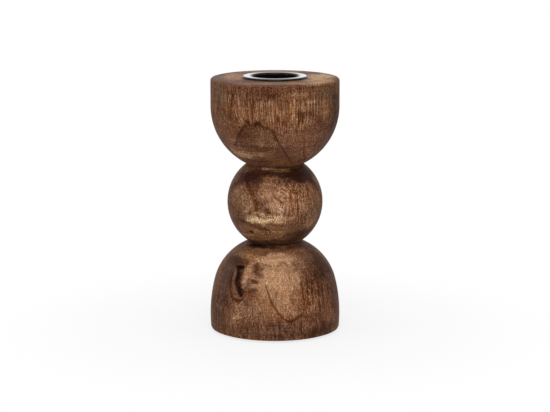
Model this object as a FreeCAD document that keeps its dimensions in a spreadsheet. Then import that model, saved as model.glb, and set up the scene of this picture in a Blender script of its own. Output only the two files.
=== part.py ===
# Turned wooden holder for one taper candle: a bowl, a ball and a domed foot cut from
# a single blank, with a drawn steel candle cup screwed into the top and felt below.
# Millimetres. Z is the turning axis and points up. The origin is the centre of the
# underside, on the surface that the holder stands on.
import FreeCAD, Part
import math
import os
import Sketcher
from FreeCAD import Vector

sizes = {
    # felt disc under the foot; its margin is from the foot's widest circle
    "felt_margin": 6.0,
    "felt_thickness": 1.0,
    # foot: a slightly bellied wall that turns over into a dome
    "foot_radius": 32.0,
    "foot_belly_height": 7.0,
    "foot_wall_radius": 72.5,
    "dome_start_rise": 17.3,
    "dome_radius": 27.4,
    "foot_edge_radius": 1.0,
    # void in the dome where bark was; its turn is from the front, its tilt from level
    "void_turn_degrees": 37.0,
    "void_tilt_degrees": 21.2,
    "void_depth": 2.2,
    "void_rise": 7.0,
    "void_drop": 7.4,
    "void_top_width": 4.4,
    "void_top_offset": 0.7,
    "void_tail_offset": 3.1,
    "void_tail_width": 1.5,
    "void_tail_rise": 2.5,
    "void_left_radius": 29.5,
    "void_right_radius": 13.2,
    # ball between the foot and the bowl, and the necks where it meets them
    "low_neck_radius": 12.65,
    "ball_radius": 23.4,
    "high_neck_radius": 13.7,
    # bowl: half a sphere below a short upright wall
    "bowl_radius": 31.5,
    "bowl_wall": 13.75,
    "bowl_edge_radius": 1.3,
    # candle cup, drawn from sheet with a crowned rim that turns down onto the wood
    "socket_radius": 11.2,
    "socket_depth": 22.0,
    "sheet": 0.6,
    "cup_corner_radius": 2.0,
    "lip_radius": 0.9,
    "lip_rise": 0.05,
    "crown_radius": 30.0,
    "rim_width": 4.85,
    "rim_edge_radius": 0.8,
    "rim_edge_rise": 0.1,
    "cup_gap": 0.1,
    # pan-head screw through the floor of the cup
    "screw_radius": 1.6,
    "screw_length": 13.0,
    "screw_point": 3.0,
    "screw_head_radius": 3.4,
    "screw_head_height": 1.7,
    "screw_head_edge": 0.5,
    "screw_hole_gap": 0.3,
    "pilot_gap": 0.05,
    "pilot_spare": 1.5,
    "recess_width": 0.9,
    "recess_span": 3.6,
    "recess_depth": 1.0,
    # how far a cut runs past the face that it opens
    "overrun": 1.0,
}

doc = FreeCAD.newDocument("candle_holder")


def fill_sheet():
    """The driving dimensions, one named cell each."""
    cells = doc.addObject("Spreadsheet::Sheet", "sizes")
    for row, (name, value) in enumerate(sizes.items(), start=1):
        cells.set(f"A{row}", name)
        cells.set(f"B{row}", str(value))
        cells.setAlias(f"B{row}", name)
    doc.recompute()


class Named:
    """The driving dimensions and what follows from them, as plain numbers for drawing."""

    def __init__(self):
        self.__dict__.update(sizes)
        self.wall_across = self.foot_radius - self.foot_wall_radius
        self.wall_up = self.felt_thickness + self.foot_belly_height
        self.wall_turn = math.asin(self.dome_start_rise / self.foot_wall_radius)
        reach = self.foot_wall_radius - self.dome_radius
        self.dome_across = self.wall_across + reach * math.cos(self.wall_turn)
        self.dome_up = self.wall_up + reach * math.sin(self.wall_turn)
        low = self.low_neck_radius
        self.low_neck_up = self.dome_up + side(self.dome_radius, low - self.dome_across)
        self.ball_up = self.low_neck_up + side(self.ball_radius, low)
        high = self.high_neck_radius
        self.high_neck_up = self.ball_up + side(self.ball_radius, high)
        self.bowl_up = self.high_neck_up + side(self.bowl_radius, high)
        self.wood_top = self.bowl_up + self.bowl_wall
        self.bore_radius = self.socket_radius + self.sheet + self.cup_gap
        self.rim_radius = self.socket_radius + self.rim_width
        self.cup_floor = self.wood_top - self.socket_depth
        self.bore_floor = self.cup_floor - self.sheet
        self.hole_radius = self.screw_radius + self.screw_hole_gap
        self.pilot_radius = self.screw_radius + self.pilot_gap
        self.pilot_end = self.cup_floor - self.screw_length - self.pilot_spare
        self.felt_radius = self.foot_radius - self.felt_margin


def side(slope, other):
    """The third side of a right-angled triangle, from its longest side and one more."""
    return math.sqrt(slope**2 - other**2)


# The same derived places and radii, written for the expressions of the sketches.
wall_up = "(sizes.felt_thickness + sizes.foot_belly_height)"
wall_turn = "asin(sizes.dome_start_rise / sizes.foot_wall_radius)"
wall_reach = "(sizes.foot_wall_radius - sizes.dome_radius)"
dome_across = f"(sizes.foot_radius - sizes.foot_wall_radius + {wall_reach} * cos({wall_turn}))"
dome_up = f"({wall_up} + {wall_reach} * sin({wall_turn}))"
low_neck_rise = f"sqrt(sizes.dome_radius ^ 2 - (sizes.low_neck_radius - {dome_across}) ^ 2)"
ball_rise = "sqrt(sizes.ball_radius ^ 2 - sizes.low_neck_radius ^ 2)"
ball_up = f"({dome_up} + {low_neck_rise} + {ball_rise})"
high_neck_rise = "sqrt(sizes.ball_radius ^ 2 - sizes.high_neck_radius ^ 2)"
bowl_rise = "sqrt(sizes.bowl_radius ^ 2 - sizes.high_neck_radius ^ 2)"
bowl_up = f"({ball_up} + {high_neck_rise} + {bowl_rise})"
wood_top = f"({bowl_up} + sizes.bowl_wall)"
cup_floor = f"({wood_top} - sizes.socket_depth)"
bore_radius = "(sizes.socket_radius + sizes.sheet + sizes.cup_gap)"
hole_radius = "(sizes.screw_radius + sizes.screw_hole_gap)"
pilot_radius = "(sizes.screw_radius + sizes.pilot_gap)"
pilot_end = f"({cup_floor} - sizes.screw_length - sizes.pilot_spare)"


def new_body(label):
    body = doc.addObject("PartDesign::Body", label)
    body.Label = label
    return body


def new_sketch(body, name, plane="XZ_Plane"):
    """A sketch on one of the body's own origin planes; on XZ its axes are X and Z."""
    sketch = body.newObject("Sketcher::SketchObject", name)
    support = next(f for f in body.Origin.OriginFeatures if f.Role == plane)
    sketch.AttachmentSupport = [(support, "")]
    sketch.MapMode = "FlatFace"
    return sketch


def line(start, end):
    return Part.LineSegment(Vector(*start, 0), Vector(*end, 0))


def arc(centre, radius, start, end):
    """An arc that turns anticlockwise, between two angles in radians."""
    return Part.ArcOfCircle(Part.Circle(Vector(*centre, 0), Vector(0, 0, 1), radius), start, end)


def bow(start, end, radius):
    """An arc between two points that bulges to the left, seen with the first point above."""
    half = math.dist(start, end) / 2
    back = math.sqrt(radius**2 - half**2)
    ux = (end[0] - start[0]) / (2 * half)
    uy = (end[1] - start[1]) / (2 * half)
    centre = ((start[0] + end[0]) / 2 - uy * back, (start[1] + end[1]) / 2 + ux * back)
    return arc(centre, radius, heading(centre, start), heading(centre, end))


def heading(centre, point):
    return math.atan2(point[1] - centre[1], point[0] - centre[0])


def meeting(centre_a, radius_a, centre_b, radius_b):
    """Where two circles cross, on the right of the way from the first centre to the second."""
    along = math.dist(centre_a, centre_b)
    share = (along**2 + radius_a**2 - radius_b**2) / (2 * along)
    off = math.sqrt(radius_a**2 - share**2)
    ux = (centre_b[0] - centre_a[0]) / along
    uy = (centre_b[1] - centre_a[1]) / along
    return (centre_a[0] + ux * share + uy * off, centre_a[1] + uy * share - ux * off)


# How a sketch numbers the ends of its pieces, and its origin.
START, END, CENTRE = range(1, 4)
ORIGIN = (-1, START)


def bind(sketch, formula, kind, *ends):
    """Adds a dimension at its drawn size and ties it to a formula of the sheet's cells."""
    if kind == "Radius":
        drawn = sketch.Geometry[ends[0]].Radius
    else:
        start = sketch.getPoint(*ends[:2])
        end = sketch.getPoint(*ends[2:])
        drawn = end.x - start.x if kind == "DistanceX" else end.y - start.y
    number = sketch.addConstraint(Sketcher.Constraint(kind, *ends, drawn))
    sketch.setExpression(f"Constraints[{number}]", formula)


def place(sketch, piece, end, across=None, up=None):
    """Ties an end of a piece to a distance from the axis and a height."""
    if across is not None:
        bind(sketch, across, "DistanceX", *ORIGIN, piece, end)
    if up is not None:
        bind(sketch, up, "DistanceY", *ORIGIN, piece, end)


def radius(sketch, piece, formula):
    bind(sketch, formula, "Radius", piece)


def join(sketch, kind, piece, end, other, other_end):
    sketch.addConstraint(Sketcher.Constraint(kind, piece, end, other, other_end))


def on_axis(sketch, piece, end):
    """Keeps an end on the sketch's upright axis, which a sketch numbers as piece -2."""
    sketch.addConstraint(Sketcher.Constraint("PointOnObject", piece, end, -2))


def level(sketch, *pieces):
    for piece in pieces:
        sketch.addConstraint(Sketcher.Constraint("Horizontal", piece))


def upright(sketch, *pieces):
    for piece in pieces:
        sketch.addConstraint(Sketcher.Constraint("Vertical", piece))


def revolve(body, sketch, kind, name):
    """A Revolution or a Groove right round the Z axis."""
    turned = body.newObject(f"PartDesign::{kind}", name)
    turned.Profile = sketch
    turned.ReferenceAxis = (sketch, ["V_Axis"])
    turned.Angle = 360
    return turned


def round_edge(body, base, name, height, size, formula):
    """Rounds the widest circular edge that lies at one height."""
    doc.recompute()
    rings = [
        (edge.Curve.Radius, number)
        for number, edge in enumerate(base.Shape.Edges, start=1)
        if isinstance(edge.Curve, Part.Circle) and abs(edge.Curve.Center.z - height) < size / 10
    ]
    fillet = body.newObject("PartDesign::Fillet", name)
    fillet.Base = (base, [f"Edge{max(rings)[1]}"])
    fillet.Radius = size
    fillet.setExpression("Radius", formula)
    return fillet


def turned_body(n):
    """The wood, turned from one blank and drilled for the cup and its screw."""
    body = new_body("turned_body")
    profile = new_sketch(body, "turning_profile")

    foot = n.felt_thickness
    belly = (n.wall_across, n.wall_up)
    dome = (n.dome_across, n.dome_up)
    ball = (0, n.ball_up)
    bowl = (0, n.bowl_up)
    low_neck = (n.low_neck_radius, n.low_neck_up)
    high_neck = (n.high_neck_radius, n.high_neck_up)
    edge_back = side(n.foot_wall_radius - n.foot_edge_radius, n.foot_belly_height - n.foot_edge_radius)
    turn = (belly[0] + edge_back, foot + n.foot_edge_radius)
    wall_start = heading(belly, turn)

    sole = profile.addGeometry(line((0, foot), (turn[0], foot)))
    foot_edge = profile.addGeometry(arc(turn, n.foot_edge_radius, -math.pi / 2, wall_start))
    wall = profile.addGeometry(arc(belly, n.foot_wall_radius, wall_start, n.wall_turn))
    shoulder = profile.addGeometry(
        arc(dome, n.dome_radius, n.wall_turn, heading(dome, low_neck))
    )
    sphere = profile.addGeometry(
        arc(ball, n.ball_radius, heading(ball, low_neck), heading(ball, high_neck))
    )
    half = profile.addGeometry(arc(bowl, n.bowl_radius, heading(bowl, high_neck), 0))
    rim = (n.bowl_radius, n.wood_top)
    edge = profile.addGeometry(line((n.bowl_radius, n.bowl_up), rim))
    top = profile.addGeometry(line(rim, (0, n.wood_top)))
    axis = profile.addGeometry(line((0, n.wood_top), (0, foot)))

    join(profile, "Tangent", sole, END, foot_edge, START)
    join(profile, "Tangent", foot_edge, END, wall, START)
    join(profile, "Tangent", wall, END, shoulder, START)
    join(profile, "Coincident", shoulder, END, sphere, START)
    join(profile, "Coincident", sphere, END, half, START)
    join(profile, "Tangent", half, END, edge, START)
    join(profile, "Coincident", edge, END, top, START)
    join(profile, "Coincident", top, END, axis, START)
    join(profile, "Coincident", axis, END, sole, START)
    level(profile, sole, top)
    upright(profile, edge, axis)
    for piece, end in ((axis, START), (sphere, CENTRE), (half, CENTRE)):
        on_axis(profile, piece, end)

    place(profile, sole, START, up="sizes.felt_thickness")
    belly_back = "sizes.foot_wall_radius - sizes.foot_radius"
    bind(profile, belly_back, "DistanceX", wall, CENTRE, *ORIGIN)
    place(profile, wall, CENTRE, up=wall_up)
    bind(profile, "sizes.dome_start_rise", "DistanceY", wall, CENTRE, wall, END)
    radius(profile, foot_edge, "sizes.foot_edge_radius")
    radius(profile, wall, "sizes.foot_wall_radius")
    radius(profile, shoulder, "sizes.dome_radius")
    radius(profile, sphere, "sizes.ball_radius")
    place(profile, sphere, CENTRE, up=ball_up)
    radius(profile, half, "sizes.bowl_radius")
    place(profile, half, CENTRE, up=bowl_up)
    bind(profile, "sizes.bowl_wall", "DistanceY", edge, START, edge, END)

    blank = revolve(body, profile, "Revolution", "turned_blank")
    bowl_edge = round_edge(
        body, blank, "bowl_edge", n.wood_top, n.bowl_edge_radius, "sizes.bowl_edge_radius"
    )
    doc.recompute()
    before = bowl_edge.Shape.Volume

    drill = new_sketch(body, "drilling_profile")
    above = n.wood_top + n.overrun
    corners = [
        (0, above),
        (0, n.pilot_end - n.pilot_radius),
        (n.pilot_radius, n.pilot_end),
        (n.pilot_radius, n.bore_floor),
        (n.bore_radius, n.bore_floor),
        (n.bore_radius, above),
    ]
    formulas = [
        (None, f"{wood_top} + sizes.overrun"),
        (None, f"{pilot_end} - {pilot_radius}"),
        (pilot_radius, pilot_end),
        (pilot_radius, f"{cup_floor} - sizes.sheet"),
        (bore_radius, f"{cup_floor} - sizes.sheet"),
        (bore_radius, f"{wood_top} + sizes.overrun"),
    ]
    closed_outline(drill, corners, formulas)
    bores = revolve(body, drill, "Groove", "cup_and_pilot_bores")
    body.Tip = bores
    doc.recompute()
    bored = bores.Shape.Volume
    assert bored < before, "the drilling took nothing away"
    void = bark_void(n, body)
    body.Tip = void
    doc.recompute()
    assert void.Shape.Volume < bored, "the void took nothing away"
    return body


def bark_void(n, body):
    """A curved slot, wider at its top, sunk square to the dome of the foot."""
    turn = math.radians(n.void_turn_degrees)
    tilt = math.radians(n.void_tilt_degrees)
    out = n.dome_across + (n.dome_radius + n.overrun) * math.cos(tilt)
    height = n.dome_up + (n.dome_radius + n.overrun) * math.sin(tilt)
    facing = FreeCAD.Rotation(Vector(0, 1, 0), -n.void_turn_degrees) * FreeCAD.Rotation(
        Vector(1, 0, 0), -n.void_tilt_degrees
    )
    outline = new_sketch(body, "void_outline")
    start = Vector(-out * math.sin(turn), height, out * math.cos(turn))
    outline.AttachmentOffset = FreeCAD.Placement(start, facing)
    reach = f"({dome_across} + (sizes.dome_radius + sizes.overrun) * cos(sizes.void_tilt_degrees))"
    rise = f"{dome_up} + (sizes.dome_radius + sizes.overrun) * sin(sizes.void_tilt_degrees)"
    for axis, formula in (
        ("x", f"-{reach} * sin(sizes.void_turn_degrees)"),
        ("y", rise),
        ("z", f"{reach} * cos(sizes.void_turn_degrees)"),
    ):
        outline.setExpression(f"AttachmentOffset.Base.{axis}", formula)

    top_left = (n.void_top_offset - n.void_top_width, n.void_rise)
    top_right = (n.void_top_offset, n.void_rise)
    tail_left = (n.void_tail_offset, -n.void_drop)
    tail_right = (n.void_tail_offset + n.void_tail_width, n.void_tail_rise - n.void_drop)
    top = outline.addGeometry(line(top_right, top_left))
    left = outline.addGeometry(bow(top_left, tail_left, n.void_left_radius))
    tail = outline.addGeometry(line(tail_left, tail_right))
    right = outline.addGeometry(bow(top_right, tail_right, n.void_right_radius))
    join(outline, "Coincident", top, END, left, START)
    join(outline, "Coincident", left, END, tail, START)
    join(outline, "Coincident", tail, END, right, END)
    join(outline, "Coincident", right, START, top, START)
    level(outline, top)
    place(outline, top, START, "sizes.void_top_offset", "sizes.void_rise")
    bind(outline, "sizes.void_top_width", "DistanceX", top, END, top, START)
    place(outline, tail, START, "sizes.void_tail_offset", "-sizes.void_drop")
    bind(outline, "sizes.void_tail_width", "DistanceX", tail, START, tail, END)
    bind(outline, "sizes.void_tail_rise", "DistanceY", tail, START, tail, END)
    radius(outline, left, "sizes.void_left_radius")
    radius(outline, right, "sizes.void_right_radius")

    void = body.newObject("PartDesign::Pocket", "bark_void")
    void.Profile = outline
    void.Length = n.void_depth + n.overrun
    void.setExpression("Length", "sizes.void_depth + sizes.overrun")
    return void


def closed_outline(sketch, corners, formulas):
    """Straight sides through corners; each corner is tied to its two formulas, or to the axis."""
    for number, corner in enumerate(corners):
        sketch.addGeometry(line(corner, corners[(number + 1) % len(corners)]))
    for number, (across, up) in enumerate(formulas):
        before = (number - 1) % len(corners)
        join(sketch, "Coincident", before, END, number, START)
        if across is None:
            on_axis(sketch, number, START)
        place(sketch, number, START, across, up)


def candle_cup(n):
    """The cup: one sheet thickness all over, from the hole in its floor to the edge of its rim."""
    body = new_body("candle_cup")
    profile = new_sketch(body, "cup_profile")

    corner = (n.socket_radius - n.cup_corner_radius, n.cup_floor + n.cup_corner_radius)
    lip = (n.socket_radius + n.lip_radius, n.wood_top + n.lip_rise)
    edge = (n.rim_radius - n.rim_edge_radius, n.wood_top + n.rim_edge_rise)
    crown = meeting(
        lip, n.crown_radius - n.lip_radius, edge, n.crown_radius - n.rim_edge_radius
    )
    lip_turn = heading(crown, lip)
    edge_turn = heading(crown, edge)

    def both_sides(centre, outer, start, end):
        """Concentric arcs of the two faces of the sheet: the face that shows, then the other."""
        shown = profile.addGeometry(arc(centre, outer, start, end))
        hidden = profile.addGeometry(arc(centre, outer - n.sheet, start, end))
        join(profile, "Coincident", shown, CENTRE, hidden, CENTRE)
        return shown, hidden

    floor = profile.addGeometry(line((n.hole_radius, n.cup_floor), (corner[0], n.cup_floor)))
    under = profile.addGeometry(line((n.hole_radius, n.bore_floor), (corner[0], n.bore_floor)))
    hole = profile.addGeometry(line((n.hole_radius, n.bore_floor), (n.hole_radius, n.cup_floor)))
    bend = profile.addGeometry(arc(corner, n.cup_corner_radius, -math.pi / 2, 0))
    bend_under = profile.addGeometry(arc(corner, n.cup_corner_radius + n.sheet, -math.pi / 2, 0))
    join(profile, "Coincident", bend, CENTRE, bend_under, CENTRE)
    wall = profile.addGeometry(line((n.socket_radius, corner[1]), (n.socket_radius, lip[1])))
    outside = n.socket_radius + n.sheet
    wall_under = profile.addGeometry(line((outside, corner[1]), (outside, lip[1])))
    lip_shown, lip_hidden = both_sides(lip, n.lip_radius, lip_turn, math.pi)
    crown_shown, crown_hidden = both_sides(crown, n.crown_radius, edge_turn, lip_turn)
    edge_shown, edge_hidden = both_sides(edge, n.rim_edge_radius, 0, edge_turn)
    inside = n.rim_radius - n.sheet
    skirt = profile.addGeometry(line((n.rim_radius, edge[1]), (n.rim_radius, n.wood_top)))
    skirt_under = profile.addGeometry(line((inside, edge[1]), (inside, n.wood_top)))
    hem = profile.addGeometry(line((n.rim_radius, n.wood_top), (inside, n.wood_top)))

    join(profile, "Coincident", hole, END, floor, START)
    join(profile, "Coincident", hole, START, under, START)
    for side_floor, side_bend, side_wall, side_lip, side_crown, side_edge, side_skirt in (
        (floor, bend, wall, lip_shown, crown_shown, edge_shown, skirt),
        (under, bend_under, wall_under, lip_hidden, crown_hidden, edge_hidden, skirt_under),
    ):
        join(profile, "Tangent", side_floor, END, side_bend, START)
        join(profile, "Tangent", side_bend, END, side_wall, START)
        join(profile, "Tangent", side_wall, END, side_lip, END)
        join(profile, "Tangent", side_lip, START, side_crown, END)
        join(profile, "Tangent", side_crown, START, side_edge, END)
        join(profile, "Tangent", side_edge, START, side_skirt, START)
    join(profile, "Coincident", skirt, END, hem, START)
    join(profile, "Coincident", skirt_under, END, hem, END)
    upright(profile, hole, wall, wall_under, skirt, skirt_under)
    level(profile, floor, under, hem)

    place(profile, floor, START, hole_radius, cup_floor)
    place(profile, wall, START, across="sizes.socket_radius")
    radius(profile, bend, "sizes.cup_corner_radius")
    radius(profile, bend_under, "sizes.cup_corner_radius + sizes.sheet")
    place(profile, lip_shown, CENTRE, up=f"{wood_top} + sizes.lip_rise")
    radius(profile, lip_shown, "sizes.lip_radius")
    radius(profile, crown_shown, "sizes.crown_radius")
    edge_across = "sizes.socket_radius + sizes.rim_width - sizes.rim_edge_radius"
    place(profile, edge_shown, CENTRE, edge_across, f"{wood_top} + sizes.rim_edge_rise")
    radius(profile, edge_shown, "sizes.rim_edge_radius")
    place(profile, hem, START, up=wood_top)

    body.Tip = revolve(body, profile, "Revolution", "drawn_cup")
    return body


def cup_screw(n):
    """Pan-head screw with a cross recess; its shank is plain where the thread would be."""
    body = new_body("cup_screw")
    profile = new_sketch(body, "screw_profile")
    head_top = n.cup_floor + n.screw_head_height
    tip = n.cup_floor - n.screw_length
    shoulder = tip + n.screw_point
    corners = [
        (0, tip),
        (n.screw_radius, shoulder),
        (n.screw_radius, n.cup_floor),
        (n.screw_head_radius, n.cup_floor),
        (n.screw_head_radius, head_top),
        (0, head_top),
    ]
    formulas = [
        (None, f"{cup_floor} - sizes.screw_length"),
        ("sizes.screw_radius", f"{cup_floor} - sizes.screw_length + sizes.screw_point"),
        ("sizes.screw_radius", cup_floor),
        ("sizes.screw_head_radius", cup_floor),
        ("sizes.screw_head_radius", f"{cup_floor} + sizes.screw_head_height"),
        (None, f"{cup_floor} + sizes.screw_head_height"),
    ]
    closed_outline(profile, corners, formulas)
    blank = revolve(body, profile, "Revolution", "screw_blank")
    rounded = round_edge(
        body, blank, "head_edge", head_top, n.screw_head_edge, "sizes.screw_head_edge"
    )
    doc.recompute()
    before = rounded.Shape.Volume

    slot = new_sketch(body, "recess_slot", "XY_Plane")
    slot.AttachmentOffset = FreeCAD.Placement(Vector(0, 0, head_top), FreeCAD.Rotation())
    slot.setExpression("AttachmentOffset.Base.z", f"{cup_floor} + sizes.screw_head_height")
    half_span = "sizes.recess_span / 2"
    half_width = "sizes.recess_width / 2"
    far = n.recess_span / 2
    near = n.recess_width / 2
    corners = [(-far, -near), (far, -near), (far, near), (-far, near)]
    formulas = [
        (f"-{half_span}", f"-{half_width}"),
        (half_span, f"-{half_width}"),
        (half_span, half_width),
        (f"-{half_span}", half_width),
    ]
    closed_outline(slot, corners, formulas)
    cut = body.newObject("PartDesign::Pocket", "recess_cut")
    cut.Profile = slot
    cut.Length = n.recess_depth
    cut.setExpression("Length", "sizes.recess_depth")
    doc.recompute()
    cross = body.newObject("PartDesign::PolarPattern", "cross_recess")
    cross.Originals = [cut]
    cross.Axis = (slot, ["N_Axis"])
    cross.Angle = 90
    cross.Occurrences = 2
    body.Tip = cross
    doc.recompute()
    assert cross.Shape.Volume < cut.Shape.Volume < before, "the recess took nothing away"
    return body


def base_felt(n):
    """The felt disc glued to the flat underside of the foot."""
    body = new_body("base_felt")
    outline = new_sketch(body, "felt_outline", "XY_Plane")
    ring = outline.addGeometry(Part.Circle(Vector(), Vector(0, 0, 1), n.felt_radius))
    join(outline, "Coincident", ring, CENTRE, *ORIGIN)
    radius(outline, ring, "sizes.foot_radius - sizes.felt_margin")
    disc = body.newObject("PartDesign::Pad", "felt_disc")
    disc.Profile = outline
    disc.Length = n.felt_thickness
    disc.setExpression("Length", "sizes.felt_thickness")
    return body


def check(nodes):
    """Stops unless every object computed and every sub-part is one sound solid."""
    for thing in doc.Objects:
        assert not {"Invalid", "Error"} & set(thing.State), f"{thing.Name} failed: {thing.State}"
    for node in nodes:
        shape = node.Shape
        assert not shape.isNull() and shape.isValid(), f"{node.Label} is not a sound shape"
        assert len(shape.Solids) == 1, f"{node.Label} has {len(shape.Solids)} solids"


fill_sheet()
named = Named()
nodes = [turned_body(named), candle_cup(named), cup_screw(named), base_felt(named)]
doc.recompute()
check(nodes)
os.makedirs("parts", exist_ok=True)
for node in nodes:
    node.Shape.exportStep(f"parts/{node.Label}.step")
    print(f"{node.Label}: {node.Shape.Volume:.1f} mm3")
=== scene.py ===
import math
from functools import partial

import bpy
import numpy as np
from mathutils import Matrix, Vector


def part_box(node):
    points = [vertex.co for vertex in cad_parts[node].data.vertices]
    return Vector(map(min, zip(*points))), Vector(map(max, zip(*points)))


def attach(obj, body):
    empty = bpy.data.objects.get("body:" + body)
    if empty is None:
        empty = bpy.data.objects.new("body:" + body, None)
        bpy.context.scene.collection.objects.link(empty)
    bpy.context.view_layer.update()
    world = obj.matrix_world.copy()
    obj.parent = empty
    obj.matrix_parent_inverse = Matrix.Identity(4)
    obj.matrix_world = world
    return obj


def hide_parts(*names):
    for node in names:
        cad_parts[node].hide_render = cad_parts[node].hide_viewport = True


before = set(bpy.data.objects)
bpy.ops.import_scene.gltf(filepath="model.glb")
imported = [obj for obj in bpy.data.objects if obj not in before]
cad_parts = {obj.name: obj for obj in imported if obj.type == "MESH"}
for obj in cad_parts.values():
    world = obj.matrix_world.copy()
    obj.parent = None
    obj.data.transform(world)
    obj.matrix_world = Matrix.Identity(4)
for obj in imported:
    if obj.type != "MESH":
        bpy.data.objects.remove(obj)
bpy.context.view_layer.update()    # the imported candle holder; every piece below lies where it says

mm = 0.001
print("frame loaded:", sorted(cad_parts))


# sRGB hex to the linear colour that a socket takes
def hexColour(text):
    channels = [int(text[i : i + 2], 16) / 255 for i in (1, 3, 5)]
    return [c / 12.92 if c <= 0.04045 else ((c + 0.055) / 1.055) ** 2.4 for c in channels] + [1]


# adds one node. A socket, given by name or by place as _0, gets a plain value, a colour from
# its hex, or a link from another socket or from a node's first output.
def addNode(tree, kind, settings=None, **sockets):
    node = tree.nodes.new("ShaderNode" + kind)
    for name, value in (settings or {}).items():
        setattr(node, name, value)
    for name, value in sockets.items():
        socket = node.inputs[int(name[1:])] if name[0] == "_" else node.inputs[name.replace("_", " ")]
        if isinstance(value, str):
            value = hexColour(value)
        if isinstance(value, bpy.types.Node):
            value = value.outputs[0]
        if isinstance(value, bpy.types.NodeSocket):
            tree.links.new(value, socket)
        else:
            socket.default_value = value
    return node


# a material, and what adds nodes to its tree
def newMaterial(name):
    material = bpy.data.materials.new(name)
    material.use_nodes = True
    material.node_tree.nodes.clear()
    return material, partial(addNode, material.node_tree)


def newObject(name, data):
    thing = bpy.data.objects.new(name, data)
    bpy.context.scene.collection.objects.link(thing)
    return thing


def newPiece(name, points, faces, material):
    mesh = bpy.data.meshes.new(name)
    mesh.from_pydata([tuple(p) for p in points], [], faces)
    mesh.materials.append(material)
    mesh.update()
    return newObject(name, mesh)


# settings that many nodes share
times = {"operation": "MULTIPLY"}
timesPlus = {"operation": "MULTIPLY_ADD"}
scaled = {"operation": "SCALE"}
greater = {"operation": "MAXIMUM"}
eased = {"interpolation_type": "SMOOTHSTEP"}
asColour = {"data_type": "RGBA"}


# a smooth seeded wander from about -amount to amount. Its swells are about size mm across, and
# taller than that where squeeze, which shrinks the heights, is below 1.
def wander(points, amount, size, squeeze, seed):
    draw = np.random.default_rng(seed)
    points = points * (1, 1, squeeze)
    waves = 9
    total = np.zeros(len(points))
    for _ in range(waves):
        way = draw.normal(size=3)
        way *= math.pi / size * draw.uniform(0.6, 1.4) / np.linalg.norm(way)
        total += np.sin(points @ way + draw.uniform(0, 2 * math.pi))
    return amount * (total / math.sqrt(waves))


# eases a share that runs from 0 to 1
def smooth(share):
    share = np.clip(share, 0, 1)
    return share * share * (3 - 2 * share)


# points and faces of a closed stack of rings. The loop is a ring's x and y, each ring takes it
# at its own scale and height, and a point at each of the two end heights closes the stack.
def stackRings(loop, rings, ends):
    count = len(loop)
    points = [(0, 0, ends[0])]
    for scale, height in rings:
        points.extend(np.column_stack([scale * loop, np.full(count, height)]))
    points.append((0, 0, ends[1]))
    last = len(points) - 1
    faces = []
    for i in range(count):
        j = (i + 1) % count
        faces.append((0, 1 + j, 1 + i))
        faces.append((last, last - count + i, last - count + j))
        for ring in range(len(rings) - 1):
            low = 1 + ring * count
            faces.append((low + i, low + j, low + count + j, low + count + i))
    return np.array(points, float), faces


# Wood: the outline of the turning, in millimetres. Heights follow from the radii, as
# on the frame: each ball or dome starts where the one below it ends, at a neck.
turning = {
    "sole": 1.0,         # the felt's thickness
    "footRadius": 31.98,
    "footBelly": 7.0,    # height of the widest circle above the sole
    "footWall": 72.48,   # radius of the bellied wall
    "domeStart": 17.3,   # rise from the belly to the dome
    "dome": 27.4,
    "footEdge": 1.0,
    "lowNeck": 12.65,
    "ball": 23.4,
    "highNeck": 13.7,
    "bowl": 31.48,
    "bowlWall": 13.75,
    "bowlEdge": 1.3,
    "bore": 11.9,
    "boreDepth": 22.6,
    "pilot": 1.65,
    "pilotDepth": 38.1,
    "ringStep": 0.62,    # how far apart the mesh's points lie, up and round
    "fineStep": 0.3,     # the same around the void in the foot
    "fineHeights": (18, 38),
    "fineTurn": 13,      # degrees to each side of the void's middle
    "topStep": 1.2,
    "hiddenStep": 5.0,
    "backStep": 1.25,
    "backTurn": 100,     # degrees from the front, past which the mesh is coarser
}
drawnPoints = 400    # in an arc or a line, before it is thinned
turnPoints = 4000    # the same in a full turn
samePoint = 1e-6     # mm; nearer points of the outline are one
farOff = 9.0         # mm; stands for a distance too long to matter


def arc(centre, radius, start, end):
    turn = np.linspace(start, end, drawnPoints)
    return np.column_stack([centre[0] + radius * np.cos(turn), centre[1] + radius * np.sin(turn)])


def straight(start, end):
    return np.linspace(start, end, drawnPoints)


# thins a finely drawn stretch to points step mm apart, and closer at the void's height
def thin(points, step):
    low, high = turning["fineHeights"]
    heights = (points[1:, 1] + points[:-1, 1]) / 2
    steps = np.where((heights > low) & (heights < high), turning["fineStep"], step)
    run = np.hypot(*np.diff(points, axis=0).T) / steps
    run = np.concatenate([[0], np.cumsum(run)])
    at = np.linspace(0, run[-1], max(1, round(run[-1])) + 1)
    return np.column_stack([np.interp(at, run, points[:, axis]) for axis in (0, 1)])


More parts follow.
